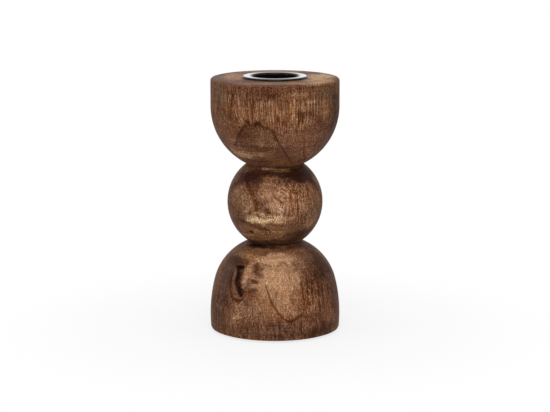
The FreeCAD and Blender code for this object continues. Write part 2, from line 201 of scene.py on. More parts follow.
# the outline in stretches, from the middle of the sole round to the tip of the pilot hole
def turnedOutline(size):
    sole, edge, wall, step = size["sole"], size["footEdge"], size["footWall"], size["ringStep"]
    belly = (size["footRadius"] - wall, sole + size["footBelly"])
    wallTurn = math.asin(size["domeStart"] / wall)
    reach = wall - size["dome"]
    dome = (belly[0] + reach * math.cos(wallTurn), belly[1] + reach * math.sin(wallTurn))
    domeEnd = math.acos((size["lowNeck"] - dome[0]) / size["dome"])
    lowNeck = dome[1] + size["dome"] * math.sin(domeEnd)
    ball = (0, lowNeck + math.sqrt(size["ball"] ** 2 - size["lowNeck"] ** 2))
    highNeck = ball[1] + math.sqrt(size["ball"] ** 2 - size["highNeck"] ** 2)
    bowl = (0, highNeck + math.sqrt(size["bowl"] ** 2 - size["highNeck"] ** 2))
    top = bowl[1] + size["bowlWall"]
    back = math.sqrt((wall - edge) ** 2 - (size["footBelly"] - edge) ** 2)
    turn = (belly[0] + back, sole + edge)
    wallStart = math.asin((turn[1] - belly[1]) / (wall - edge))
    rim = (size["bowl"] - size["bowlEdge"], top - size["bowlEdge"])
    ballStart = -math.acos(size["lowNeck"] / size["ball"])
    ballEnd = math.acos(size["highNeck"] / size["ball"])
    bowlStart = -math.acos(size["highNeck"] / size["bowl"])
    footEdge = thin(arc(turn, edge, -math.pi / 2, wallStart), step)
    bowlEdge = thin(arc(rim, size["bowlEdge"], 0, math.pi / 2), step)
    footSide = arc(belly, wall, wallStart, wallTurn), arc(dome, size["dome"], wallTurn, domeEnd)[1:]
    upright = straight((size["bowl"], bowl[1]), (size["bowl"], rim[1]))
    bowlSide = arc(bowl, size["bowl"], bowlStart, 0), upright[1:]
    outer = [
        np.concatenate([footEdge[:-1], thin(np.concatenate(footSide), step)]),
        thin(arc(ball, size["ball"], ballStart, ballEnd), step),
        np.concatenate([thin(np.concatenate(bowlSide), step)[:-1], bowlEdge]),
    ]
    bore, pilot, hidden = size["bore"], size["pilot"], size["hiddenStep"]
    floor, end = top - size["boreDepth"], top - size["pilotDepth"]
    corners = [(bore, top), (bore, floor), (pilot, floor), (pilot, end), (0, end - pilot)]
    inner = [thin(straight((rim[0], top), corners[0]), size["topStep"])]
    inner += [thin(straight(a, b), hidden) for a, b in zip(corners, corners[1:])]
    underside = [thin(straight((0, sole), (turn[0], sole)), hidden)]
    return underside, outer, inner


underside, outer, inner = turnedOutline(turning)
drawn = np.concatenate(underside + outer + inner)
apart = [i == 0 or math.dist(point, drawn[i - 1]) > samePoint for i, point in enumerate(drawn)]
outline = drawn[apart]
shown = np.concatenate(outer)        # foot, ball and bowl, from the bottom up
topHeight = float(outer[-1][-1][1])
necks = [float(stretch[-1][1]) for stretch in outer[:2]]


# a place on the shown side: the point, and the ways across, up and out, in millimetres.
# Its turn is in degrees from the front, towards +X.
def onWood(turn, height):
    turn = math.radians(turn)
    reach = 0.4     # mm each way over which the slope is taken
    heights = [height - reach, height, height + reach]
    under, radius, over = np.interp(heights, shown[:, 1], shown[:, 0])
    slope = (over - under) / (2 * reach)
    front = np.array([math.sin(turn), -math.cos(turn), 0])
    across = np.array([math.cos(turn), math.sin(turn), 0])
    up = slope * front + np.array([0, 0, 1])
    up /= np.linalg.norm(up)
    return radius * front + np.array([0, 0, height]), across, up, np.cross(across, up)


# Void: where bark was enclosed in the foot. Its outline is in the plane that touches the
# dome there, in millimetres to the right of its middle and up from it.
void = {
    "turn": -38.6,
    "height": 29.2,
    "wider": 0.35,       # added to its outline all round
    "depth": 2.0,
    "reach": 16,         # how far from its middle all of it lies
    "wall": 1.1,         # how wide its sloping side is
    "ragged": (0.06, 2.0, 1, 3),     # wander of its edge: amount, size, squeeze, seed
    "rough": (0.22, 2.2, 1, 4),      # wander of its depth, as a share of it
    "lip": 2.0,          # width of the healed wood that rolls in round its left
    "lipSunk": 0.35,
    "lipEnds": ((0.5, 2), (5.5, 3)),     # its ends to the right and above, and their fading
    "lipTone": 0.85,
    "tones": (("dark", -0.4), ("bark", 0.5)),    # and how far in from the edge each starts
    "toneFade": 0.8,
    "outline": [
        (0.8, 7.0), (-1.5, 7.2), (-4.1, 6.9), (-2.6, 5.2), (-1.9, 3.4), (-1.8, 1.4),
        (-1.9, -0.6), (-1.2, -2.1), (-0.4, -3.0), (0.5, -4.4), (1.3, -5.9), (3.1, -7.5),
        (4.1, -6.4), (4.6, -5.0), (3.1, -4.2), (2.0, -3.1), (1.4, -1.4), (1.1, 1.4), (0.9, 4.6),
    ],
}


# how far inside a closed outline each point lies, in millimetres; less than 0 is outside
def inside(points, corners):
    corners = np.array(corners, float)
    following = np.roll(corners, -1, axis=0)
    nearest = np.full(len(points), np.inf)
    crossings = np.zeros(len(points), int)
    for (ax, ay), (bx, by) in zip(corners, following):
        side = np.array([bx - ax, by - ay])
        along = np.clip(((points - (ax, ay)) @ side) / (side @ side), 0, 1)
        nearest = np.minimum(nearest, np.hypot(*(points - (ax, ay) - along[:, None] * side).T))
        straddles = (ay > points[:, 1]) != (by > points[:, 1])
        with np.errstate(divide="ignore", invalid="ignore"):
            meets = ax + (points[:, 1] - ay) * (bx - ax) / (by - ay)
        crossings += straddles & (points[:, 0] < meets)
    return np.where(crossings % 2 == 1, nearest, -nearest)


# the turns at which the mesh has points: close together beside the void, wide apart behind
def turnAngles(size):
    turns = np.linspace(-math.pi, math.pi, turnPoints)
    degrees = np.degrees((turns[1:] + turns[:-1]) / 2)
    steps = np.where(abs(degrees) > size["backTurn"], size["backStep"], size["ringStep"])
    steps = np.where(abs(degrees - void["turn"]) < size["fineTurn"], size["fineStep"], steps)
    run = np.concatenate([[0], np.cumsum(np.diff(turns) * size["footRadius"] / steps)])
    count = round(run[-1])
    return np.interp(np.arange(count) * run[-1] / count, run, turns)


print("turning the wood")
turns = turnAngles(turning)
loop = np.column_stack([np.sin(turns), -np.cos(turns)])
restPoints, woodFaces = stackRings(loop, outline[1:-1], (outline[0][1], outline[-1][1]))
# what shows is outside the bore and above the underside, with a little to spare
isShown = np.hypot(restPoints[:, 0], restPoints[:, 1]) > turning["bore"] + 0.5
isShown &= restPoints[:, 2] > turning["sole"] + 0.01

# how far in from the surface, in mm, each of these reaches, which is short of the far side
reachIn = {"void": 9, "area": 8, "bend": 12, "patch": 14}
place, across, up, out = onWood(void["turn"], void["height"])
offset = restPoints - place
flat = np.column_stack([offset @ across, offset @ up])
nearVoid = isShown & (np.hypot(*flat.T) < void["reach"]) & (offset @ out > -reachIn["void"])
voidInside = np.full(len(restPoints), -farOff)
voidInside[nearVoid] = inside(flat[nearVoid], void["outline"]) + void["wider"]
voidInside[nearVoid] += wander(restPoints[nearVoid], *void["ragged"])
cave = smooth(voidInside / void["wall"])
# the lip's section is a bell that lies just outside the edge
lipShape = np.exp(-(((voidInside + void["lip"] / 2) / (void["lip"] / 2.2)) ** 2))
for axis, (end, fade) in enumerate(void["lipEnds"]):
    lipShape *= smooth((end - flat[:, axis]) / fade)
lipShape = np.where(nearVoid, lipShape, 0)
rough = 1 + wander(restPoints, *void["rough"])
woodPoints = restPoints - np.outer(void["depth"] * cave * rough + void["lipSunk"] * lipShape, out)

# Pits: small ones that the sanding opened, as turn, height, half width and depth
pits = [(-35, 51.8, 1.0, 0.6), (142, 70, 1.2, 0.6), (-128, 26, 1.1, 0.5)]
pitEdge = 1.3     # where a pit has run out, in half widths
for turn, height, size, depth in pits:
    place, across, up, out = onWood(turn, height)
    far = np.linalg.norm(restPoints - place, axis=1)
    woodPoints = woodPoints - np.outer(depth * smooth(pitEdge - far / size), out)

# Figure: what shows in the wood, seen from the front and carried on round the back, with painted shade
# and sheen among the patches.
# A patch is: turn, height, half its width, half its height, its lean if any, tone, strength.
woodTones = {
    "base": "#72513f",
    "warm": "#7e5942",
    "tan": "#a87f62",
    "paleTan": "#c39c7c",
    "gold": "#a17b56",
    "paleGold": "#dcbd95",
    "orange": "#8d5b3d",
    "pink": "#9d7360",
    "red": "#5c3325",
    "purple": "#55413a",
    "grey": "#645647",
    "olive": "#6f5c42",
    "dark": "#331b11",
    "black": "#160a07",
    "bark": "#55392f",
    "callus": "#74544a",
}
bowlPatches = [
    (-55, 119, 5, 6, "olive", 0.5),
    (-40, 115.5, 6, 4, "tan", 0.5),
    (-35, 122.5, 9, 2.2, "red", 0.2),
    (14, 123.4, 7, 1.2, "dark", 0.3),
    (-18, 120.5, 5, 3, "red", 0.35),
    (-2, 121, 7, 3, "red", 0.5),
    (-3, 119.5, 2.5, 2, 30, "dark", 0.5),
    (-12, 111.5, 9, 4.5, "tan", 0.45),
    (-29, 109.5, 4, 4, "tan", 0.5),
    (5, 111, 6, 4, "tan", 0.4),
    (16, 112.5, 3.5, 4.5, "gold", 0.7),
    (30, 114.8, 7, 2.2, 2, "gold", 0.45),
    (33, 117, 6, 0.8, "paleGold", 0.35),
    (24, 118.5, 9, 4.5, "tan", 0.5),
    (-6, 116, 6, 2.5, "tan", 0.5),
    (50, 113, 5, 5, "gold", 0.5),
    (21, 109.5, 1.4, 3.6, "dark", 0.4),
    (50, 121, 7, 3, "olive", 0.6),
    (72, 108, 8, 16, "dark", 0.7),
    (59, 120, 5, 5, "dark", 0.35),
    (48, 104, 8, 5, "red", 0.35),
    (-9, 102.5, 4.5, 2.5, "tan", 0.35),
    (13, 102.5, 8, 4.5, "pink", 0.3),
    (22, 106.5, 7, 3.6, "tan", 0.5),
    (-3, 106.3, 4, 1.8, "tan", 0.5),
    (42, 91, 8, 4, "tan", 0.35),
    (30, 97, 7, 4, "pink", 0.4),
    (12, 91, 9, 4.5, "purple", 0.3),
    (-46, 95, 7, 4, 15, "pink", 0.4),
    (-40, 89.8, 8, 2.8, -4, "paleTan", 0.9),
    (-24, 90.8, 6, 1.8, "tan", 0.5),
    (-15, 93.4, 8, 1.2, "dark", 0.35),
    (-32, 100, 4.5, 3.5, "red", 0.35),
    (-6, 96.5, 7, 3, "tan", 0.4),
    (-10, 96.2, 6, 0.9, "paleTan", 0.35),
    (-25, 107.8, 1.8, 1.2, "dark", 0.6),
    (-16, 107, 2, 1.4, "dark", 0.6),
    (0, 86.5, 9, 1.6, "orange", 0.6),
    (-25, 86.8, 9, 1.0, -4, "dark", 0.5),
]
ballPatches = [
    # the dark and black patches round the top of the ball, from about 78 mm up, are painted shade from
    # the bowl above, laid over dark knots that are there too
    (0, 81.2, 26, 3, "dark", 0.9),
    (38, 79, 11, 4.1, -3, "dark", 1.0),
    (36, 80, 8, 2, "black", 0.4),
    (-54, 78.5, 7, 4, "dark", 0.6),
    (-42, 78, 7, 4, -20, "dark", 0.95),
    (7, 82, 6, 1.2, "gold", 0.65),
    (-20, 81.5, 5, 1.5, "red", 0.8),
    (-15, 82.8, 2.8, 1.1, 8, "paleGold", 0.75),
    (-14, 80.8, 4, 1, 8, "dark", 0.75),
    (54, 80, 8, 4.5, "dark", 0.9),
    (-27, 78, 5, 3, -20, "dark", 0.8),
    (-26, 74, 3.2, 4, "red", 0.55),
    (0, 71.5, 9, 4, "tan", 0.75),
    (20, 66, 7, 7, "tan", 0.6),
    (-10, 76, 4, 1.4, "gold", 0.6),
    (40, 67, 9, 6, "tan", 0.55),
    (27, 72, 6, 4, "tan", 0.45),
    (15, 67, 7, 4, "tan", 0.5),
    (55, 61, 8, 8, "olive", 0.3),
    (-45, 68, 8, 7, "tan", 0.5),
    (-25, 66, 4, 5, 20, "tan", 0.45),
    (-42, 65, 8, 7, "olive", 0.25),
    (-14, 67, 4.2, 2.6, "red", 0.4),
    (-20, 69, 1.4, 2.4, "red", 0.6),
    (-9.5, 64.5, 2.2, 1.3, "red", 0.95),
    (5, 65.5, 6, 2.6, "paleTan", 0.65),
    (-20, 58.6, 6.6, 2, -3, "paleGold", 1.0),
    (-33, 57.8, 2.6, 0.8, "paleGold", 0.8),
    (-4, 58.8, 7, 2.6, "paleGold", 0.7),
    (10, 58.8, 6, 2.6, "paleTan", 0.6),
    (-15, 61.6, 3, 1.2, "paleGold", 0.65),
    (-2, 51, 13, 3.4, "tan", 0.5),
    (-26, 52.5, 3.6, 1.8, "gold", 0.7),
    (-15, 52, 3, 1.6, "pink", 0.6),
    (-10, 53.2, 5, 2, "red", 0.6),
    (2, 52.8, 4, 2, "gold", 0.7),
    (2, 54.8, 8, 0.9, "gold", 0.7),
    (34, 50.2, 9, 3.6, "dark", 0.75),
    (0, 51.4, 5, 1.2, "pink", 0.5),
    (18, 55.5, 6, 0.8, "dark", 0.3),
    (-8, 55.2, 6, 1.3, "tan", 0.4),
    (50, 57.5, 5, 4, "tan", 0.5),
    (27, 57, 4, 3, "base", 0.5),
    (-50, 53, 5, 4, "tan", 0.3),
    (-44, 57, 4, 1, "dark", 0.5),
    (-50, 48.5, 8, 2.4, "tan", 0.7),
    (0, 48.5, 8, 1.6, "orange", 0.5),
    (30, 47, 10, 2, "dark", 0.6),
    (-38, 46, 9, 1.4, "black", 0.6),
    (-35, 51.8, 1.5, 0.9, "dark", 0.95),
    (-34, 48.6, 4, 0.6, "dark", 0.6),
]
footPatches = [
    # the black and dark patches along the top of the foot, just under the neck, are painted shadow of
    # the ball, laid over dark wood that is there too
    (0, 44.6, 30, 1.3, "black", 0.6),
    (-36, 44, 9, 1.8, "black", 0.95),
    (-14, 43.9, 9, 1.3, "dark", 0.7),
    (-13, 39.2, 7, 2.2, "paleTan", 0.8),
    (40, 43.5, 12, 1.2, "dark", 0.6),
    (-62, 37, 7, 7, "purple", 0.7),
    (-30, 40, 8, 1.6, "gold", 0.7),
    (-46, 40, 6, 2.4, "gold", 0.65),
    (-30, 33, 1.8, 7, -4, "paleTan", 0.7),
    (-29, 39, 3, 2, "gold", 0.6),
    (3, 30, 11, 11.5, "paleTan", 0.75),
    (6, 22, 7, 6, "paleTan", 0.5),
    (-14, 19, 7, 4.5, "tan", 0.6),
    (20, 22, 5, 5, "tan", 0.7),
    (33, 19, 6, 6, "tan", 0.65),
    (-30, 16, 5, 3, "tan", 0.4),
    (7, 40.2, 8, 3.2, "paleTan", 0.85),
    (-7, 39, 6, 4, "paleTan", 0.6),
    (9, 15.5, 8, 5, "tan", 0.9),
    (-2, 31, 4, 5, "paleTan", 0.4),
    (-6, 39.6, 5, 1.2, "pink", 0.5),
    (-20.5, 34.8, 1.5, 2.6, "red", 0.85),
    (-37, 37, 3, 1.2, "red", 0.6),
    (-19, 33, 1.2, 1.1, "dark", 0.5),
    (-24, 32, 0.9, 2.6, "tan", 0.4),
    (-20, 29.4, 2.1, 0.9, -12, "red", 0.95),
    (-22.5, 24.6, 2.8, 1.2, 18, "red", 0.7),
    (-26, 22.5, 2.6, 2, 30, "orange", 0.8),
    (-20, 22, 4, 1.6, "orange", 0.5),
    (-19, 27.5, 3.4, 0.6, 14, "paleTan", 0.55),
    (28, 38.5, 6, 3, -30, "tan", 0.4),
    (-55, 37, 6, 4, 20, "dark", 0.6),
    (63, 34, 11, 8, -10, "dark", 0.5),
    (53, 31, 5, 4, 10, "dark", 0.55),
    (64, 36, 7, 9, "dark", 0.6),
    (70, 20, 6, 12, "dark", 0.4),
    (-56, 29, 6, 7, "purple", 0.75),
    (-51, 31, 2, 5, 10, "dark", 0.4),
    (-52, 18, 6, 6, "purple", 0.55),
    (-34, 13, 7, 5, -20, "tan", 0.3),
    (-36, 11.5, 4, 1.2, 10, "paleTan", 0.6),
    (-60, 12, 5, 8, "grey", 0.5),
    (-12, 14, 6, 4, "tan", 0.4),
    (14, 7, 7, 3, "purple", 0.4),
    (50, 5, 10, 4.5, "dark", 0.6),
    (2, 11.5, 17, 3, "red", 0.3),
    (40, 10, 9, 4.5, "red", 0.3),
    (-12, 17.5, 6, 2.2, "tan", 0.4),
    (-40, 8, 4, 2, "tan", 0.3),
    (38, 3, 8, 2.4, "dark", 0.3),
    (-25, 7, 11, 3, "dark", 0.3),
    (0, 3.5, 30, 1.5, "dark", 0.35),
]
backPatches = [
    (150, 112, 5, 10, 8, "paleTan", 0.6),
    (-140, 104, 9, 12, "tan", 0.6),
    (105, 108, 7, 14, "purple", 0.5),
    (-100, 100, 8, 12, 10, "grey", 0.5),
    (178, 94, 11, 3, 12, "paleTan", 0.6),
    (165, 119, 9, 4, "red", 0.8),
    (-160, 116, 6, 2, 6, "gold", 0.7),
    (120, 70, 8, 5, 25, "tan", 0.7),
    (-150, 60, 8, 2, -8, "paleGold", 0.8),
    (170, 79, 12, 3, "dark", 0.7),
    (-105, 70, 7, 8, "purple", 0.5),
    (175, 55, 10, 3, "orange", 0.6),
    (140, 30, 7, 11, 20, "tan", 0.7),
    (-155, 22, 11, 8, 12, "tan", 0.85),
    (100, 18, 7, 12, "purple", 0.5),
    (-110, 34, 8, 7, "grey", 0.5),
    (-170, 38, 6, 1.8, 20, "gold", 0.7),
    (180, 6, 26, 4, "dark", 0.45),
]
# more of them on the sides and the back, seeded; flatness is their height over their width
seeded = {
    "seed": 5,
    "count": 70,
    "halfWidth": (2, 7),
    "turn": (85, 275),
    "height": (3, 124),
    "flatness": (0.25, 0.8),
    "lean": (-25, 25),
    "tones": ["tan", "tan", "paleTan", "gold", "pink", "red", "purple", "dark", "dark", "olive"],
    "strength": (0.25, 0.6),
}
draw = np.random.default_rng(seeded["seed"])
for _ in range(seeded["count"]):
    halfWidth = draw.uniform(*seeded["halfWidth"])
    backPatches.append((
        draw.uniform(*seeded["turn"]), draw.uniform(*seeded["height"]),
        halfWidth, halfWidth * draw.uniform(*seeded["flatness"]), draw.uniform(*seeded["lean"]),
        draw.choice(seeded["tones"]), draw.uniform(*seeded["strength"]),
    ))
# on the flat top, in millimetres from the axis: x, y, half widths along them, tone, strength
# the pale ones are partly painted sheen, the satin shine of the flat top seen nearly edge on, laid over
# the wood's own paler tone there
topPatches = [
    (-13, -25, 11, 5, "pink", 0.55),
    (2, -22, 13, 4, "paleTan", 0.45),
    (0, 26, 26, 5, "paleTan", 0.6),
    (22, -14, 8, 9, "paleTan", 0.9),
    (22, 2, 7, 14, "paleGold", 0.85),
    (16, -24, 9, 4, "paleTan", 0.6),
    (-20, 4, 6, 16, "paleTan", 0.75),
    (-28, -6, 4, 10, "grey", 0.5),
]
# the arch on the bowl, from its left foot over to its right
arch = [
    (-47, 95), (-42, 97), (-35, 101), (-30, 104.5), (-26.5, 106), (-25, 108), (-23, 106), (-21, 106.2),
    (-18, 106), (-15, 107.6), (-13, 106), (-6, 104.8), (-2, 103), (0, 100.5), (3, 98), (8, 94.5),
]
# areas with an edge of their own: tone, strength, softness in mm, the edge's darkness, corners.
# The arch's stain follows it but for one corner.
areas = [
    ("dark", 0.3, 0.8, 0.45, arch[:4] + [(-26, 106)] + arch[5:] + [(-20, 94.6)]),
    ("gold", 0.3, 1.0, 0.3, [(150, 104), (158, 110), (166, 104), (164, 96), (152, 95)]),
]
# fine dark lines: width in mm, darkness, then the turn and height of each point
seams = [
    (0.8, 0.55, arch),
    (0.5, 0.7, [(28, 100), (30, 97), (32, 94), (35, 91), (40, 89), (47, 86.5)]),
    (0.5, 0.6, [(7, 95.5), (13, 91), (20, 88), (28, 85.5)]),
    (0.4, 0.45, [(44, 97), (50, 92), (58, 88.5)]),
    (0.4, 0.35, [(-42, 95), (-20, 95.1), (2, 95)]),
    (0.45, 0.28, [(-64, 124.3), (-30, 124.4), (0, 124.4), (28, 124.3)]),
    (0.6, 0.8, [(-39, 122), (-41, 115.5), (-42, 109)]),
    (0.4, 0.6, [(-59, 116.5), (-61, 109.5)]),
    (0.5, 0.8, [(20.5, 114.5), (21, 105.5)]),
    (0.4, 0.6, [(24, 113), (24.5, 106)]),
    (0.4, 0.45, [(-20, 117), (-20, 106)]),
    (0.35, 0.5, [(-12, 115), (-12, 106.5)]),
    (0.35, 0.5, [(0.5, 114), (0, 105.5)]),
    (0.35, 0.5, [(10, 113), (10.5, 100)]),
    (0.35, 0.45, [(6, 112), (6.5, 105.5)]),
    (1.3, 0.85, [(-46, 77), (-38, 74.6), (-30, 71.6), (-25, 68.6), (-23, 65), (-21, 61)]),
    (0.35, 0.4, [(-52, 73), (-42, 72.5), (-35, 70), (-31, 66)]),
    (0.35, 0.35, [(-48, 68), (-40, 68.4), (-36, 65.5)]),
    (0.45, 0.8, [(26, 76), (28, 71), (28, 65.5), (29.5, 60), (31, 55)]),
    (0.4, 0.55, [(44, 76), (45.5, 71), (44, 66.5)]),
    (0.35, 0.45, [(18, 74), (19, 68)]),
    (0.5, 0.7, [(-20, 55.9), (-15, 54.4), (-8, 53.6), (-4, 52.4)]),
    (0.4, 0.5, [(-30, 55.5), (-22, 54.6), (-17, 52.6)]),
    (0.55, 1.0, [
        (-9, 28), (-6, 24.4), (-4, 21), (-1, 18), (4, 14.3), (9, 11.3), (14, 10.6), (20, 12), (27, 15),
        (30, 19),
    ]),
    (0.4, 0.5, [(25, 17.4), (28, 15)]),
    (0.35, 0.35, [(20, 12), (34, 12.6), (45, 11.8)]),
    (0.35, 0.3, [(-8, 39.8), (1, 39.9), (10, 40.2), (18, 39.6)]),
    (0.8, 0.9, [
        (-48.5, 32), (-47.5, 27), (-45.2, 23.3), (-42, 20.6), (-36, 19.6), (-31, 20.3), (-28, 22.6),
    ]),
    (0.35, 0.5, [(-25, 24.5), (-20, 26.2), (-15, 25.4), (-17, 23.3)]),
    (0.35, 0.4, [(-12, 8.9), (-2, 8.7), (7, 9.1)]),
    (0.5, 0.85, [(26.5, 33), (26, 26), (27, 19), (29, 14)]),
    (0.5, 0.9, [(34, 33), (32, 27), (31, 21), (33, 14)]),
    (0.5, 0.85, [(39, 32), (36.5, 25), (36, 17)]),
    (0.6, 0.9, [(46, 31), (43.5, 23), (43, 14)]),
    (0.5, 0.8, [(51, 30), (49, 22), (49.5, 12)]),
    (0.35, 0.4, [(14, 34), (15, 30)]),
    (0.7, 0.8, [(150, 122), (154, 108), (149, 96)]),
    (0.7, 0.8, [(-120, 118), (-124, 104), (-118, 92)]),
    (0.7, 0.85, [(-165, 74), (-160, 66), (-163, 56)]),
    (0.7, 0.8, [(120, 32), (124, 22), (121, 10)]),
    (0.7, 0.85, [(-150, 36), (-155, 26), (-149, 14), (-140, 9)]),
    (0.7, 0.85, [(175, 34), (178, 24), (174, 15)]),
    (0.7, 0.8, [(-100, 118), (-98, 104)]),
]
# where the grain parts round a knot or swirls: turn, height, size, parting, swirl in degrees
bends = [
    (-37, 29, 8, 0.75, 0),
    (-20, 26, 4.5, 0.3, 110),
    (-44, 80, 7, 0.7, 0),
    (-28, 93, 9, 0, 80),
    (-12, 59, 8, 0.1, 80),
    (2, 70, 7, 0.3, -70),
    (-35, 14, 8, 0.1, 60),
    (6, 28, 9, 0, 35),
    (150, 66, 7, 0.6, 30),
    (-150, 98, 8, 0.4, 40),
]
# where the fine dark pores run strong, as turn, height, half width, half height, amount
poreLines = [
    (-4, 111, 17, 8, 0.85),
    (17, 108, 8, 8, 0.85),
    (-35, 116, 9, 8, 0.8),
    (30, 114, 9, 6, 0.8),
    (42, 24, 9, 11, 1.0),
    (42, 93, 8, 8, 0.8),
    (24, 70, 9, 9, 0.8),
    (-60, 14, 8, 10, 0.7),
    (6, 28, 10, 12, -0.25),
    (8, 89, 11, 6, -0.2),
    (-14, 98, 9, 5, -0.2),
    (150, 108, 16, 14, 0.8),
    (-130, 66, 12, 10, 0.6),
    (130, 22, 14, 13, 0.7),
]
# where the wood is dense and its grain faint, the same way
calmZones = [
    (4, 28, 13, 14, 0.8),
    (8, 40, 9, 4, 0.6),
    (8, 90, 12, 5, 0.8),
    (-14, 67, 5, 3, 0.6),
    (32, 52, 11, 5, 0.7),
    (-58, 30, 8, 9, 0.8),
    (-30, 32, 3, 8, 0.9),
    (-50, 98, 7, 6, 0.5),
    (-2, 111, 20, 9, 0.3),
    (25, 98, 12, 7, 0.4),
    (45, 96, 8, 6, 0.4),
    (150, 92, 11, 8, 0.6),
    (-95, 60, 8, 7, 0.6),
    (165, 22, 10, 9, 0.6),
]
# where pale flecks break through the stain, the same way
fleckZones = [
    (-8, 59, 13, 3, 1.0),
    (4, 64, 7, 3, 0.9),
    (0, 70, 12, 7, 0.7),
    (-40, 64, 8, 7, 0.5),
    (32, 113, 8, 4, 0.8),
    (46, 119, 11, 5, 0.9),
    (8, 99, 12, 7, 0.5),
    (-30, 14, 9, 6, 0.8),
    (34, 38, 8, 5, 0.7),
    (0, 7, 24, 5, 0.6),
    (-12, 100, 9, 6, 0.4),
    (-34, 89, 10, 4, 0.6),
    (-150, 62, 9, 5, 0.8),
    (150, 30, 12, 9, 0.5),
]
# the wanders of the stain and the grain, each as amount, size, squeeze and seed
woodWanders = {
    "drift": (0.5, 9, 0.35, 11),     # from the base tone to the warm one
    "ragged": (0.17, 3.2, 0.5, 12),  # the edges of the patches, coarse and fine
    "raggedFine": (0.13, 1.3, 0.6, 13),
    "sway": (0.55, 12, 0.45, 21),    # the grain itself, slow and quick, in mm
    "shake": (0.12, 3.5, 1, 22),
}
# how the patches and the areas end
patchShape = {
    "edge": (1.35, 0.95),        # where a patch has run out, in half widths, and over how many
    "topEdge": (1.25, 0.75),
    "topFrom": (1.0, 0.8),       # mm below the top where its patches start, and over how many
    "areaRagged": 1.2,           # how much more an area's edge wanders
    "areaLine": 0.6,             # mm, half the width of its dark edge
}


# a patch stays on the foot, ball or bowl that it lies on
def onSameBall(points, height):
    return np.digitize(points[:, 2], necks) == np.digitize(height, necks)


# how deep in an oval patch each point of the wood lies: 1 in its middle, 0 past its edge
def inPatch(points, turn, height, width, rise, lean=0, ragged=None):
    place, across, up, out = onWood(turn, height)
    offset = points - place
    lean = math.radians(lean)
    right = offset @ (across * math.cos(lean) + up * math.sin(lean))
    above = offset @ (up * math.cos(lean) - across * math.sin(lean))
    far = np.hypot(right / width, above / rise)
    if ragged is not None:
        far = far + ragged
    end, fade = patchShape["edge"]
    return smooth((end - far) / fade) * (offset @ out > -reachIn["patch"]) * onSameBall(points, height)


# how far inside an area each point lies, in millimetres; less than 0 is outside
def inArea(points, corners):
    places = np.array([onWood(*corner)[0] for corner in corners])
    place, across, up, out = onWood(*np.mean(corners, axis=0))
    offset = points - place
    depth = np.full(len(points), -farOff)
    close = (offset @ out > -reachIn["area"]) & onSameBall(points, corners[0][1])
    flat = np.column_stack([offset[close] @ across, offset[close] @ up])
    depth[close] = inside(flat, [(spot @ across, spot @ up) for spot in places - place])
    return depth


# lays a tone over the colours, as strongly at each point as the amount there
def layOver(colours, tone, amount):
    colour = np.array(hexColour(woodTones[tone])[:3])
    return colours * (1 - amount[:, None]) + colour * amount[:, None]


# the colour of each point: the stain and the figure, with the painted shade under the bowl and the ball
# and the painted sheen on the top among the patches
def stainShadeSheenColours(points):
    colours = np.tile(hexColour(woodTones["base"])[:3], (len(points), 1))
    colours = layOver(colours, "warm", smooth(0.5 + wander(points, *woodWanders["drift"])))
    ragged = wander(points, *woodWanders["ragged"]) + wander(points, *woodWanders["raggedFine"])
    for *oval, tone, strength in bowlPatches + ballPatches + footPatches + backPatches:
        colours = layOver(colours, tone, strength * inPatch(points, *oval, ragged=ragged))
    for tone, strength, soft, edge, corners in areas:
        depth = inArea(points, corners) + patchShape["areaRagged"] * ragged
        line = edge * np.exp(-((depth / patchShape["areaLine"]) ** 2))
        colours = layOver(colours, tone, strength * smooth(depth / soft) * (1 - line) + line)
    down, fade = patchShape["topFrom"]
    onTop = smooth((points[:, 2] - topHeight + down) / fade)
    end, fade = patchShape["topEdge"]
    for x, y, width, rise, tone, strength in topPatches:
        far = np.hypot((points[:, 0] - x) / width, (points[:, 1] - y) / rise) + ragged
        colours = layOver(colours, tone, strength * smooth((end - far) / fade) * onTop)
    colours = layOver(colours, "callus", void["lipTone"] * lipShape)
    for tone, start in void["tones"]:
        colours = layOver(colours, tone, smooth((voidInside - start) / void["toneFade"]))
    return colours


# cuts the corners off a line of places, twice over
def rounded(places):
    for _ in range(2):
        cut = [places[0]]
        for a, b in zip(places, places[1:]):
            cut += [0.75 * a + 0.25 * b, 0.25 * a + 0.75 * b]
        places = cut + [places[-1]]
    return places


# how far across the nearest fine line each point lies, in widths of that line and with a
# sign, so that the line's middle falls between points too, and how dark the line is
def seamField(points):
    reach, margin = 1.8, 3      # mm beside a line that it darkens, and that are looked at
    ends, thinnest = 5, 0.35    # a fifth of a line thins towards each end, down to this share
    across, darkness = np.full(len(points), farOff), np.zeros(len(points))
    nearest = np.full(len(points), farOff)
    for width, strength, stops in seams:
        places = rounded([onWood(*stop)[0] for stop in stops])
        middle = sum(places) / len(places)
        around = max(math.dist(place, middle) for place in places) + margin
        close = np.flatnonzero(np.linalg.norm(points - middle, axis=1) < around)
        lengths = [math.dist(a, b) for a, b in zip(places, places[1:])]
        total, before = sum(lengths), 0
        for a, b, length in zip(places, places[1:], lengths):
            offset = points[close] - a
            along = np.clip(offset @ (b - a) / length**2, 0, 1)
            off = np.linalg.norm(offset - along[:, None] * (b - a), axis=1)
            share = (before + along * length) / total
            taper = np.clip(np.minimum(share, 1 - share) * ends, thinnest, 1)
            side = np.sign(offset @ np.cross(b - a, (a[0], a[1], 0)))
            nearer = off < nearest[close]
            nearest[close] = np.where(nearer, off, nearest[close])
            across[close] = np.where(nearer, side * off / (width * taper), across[close])
            darkness[close] = np.where(nearer, strength * smooth(reach - off), darkness[close])
            before += length
    return across, darkness


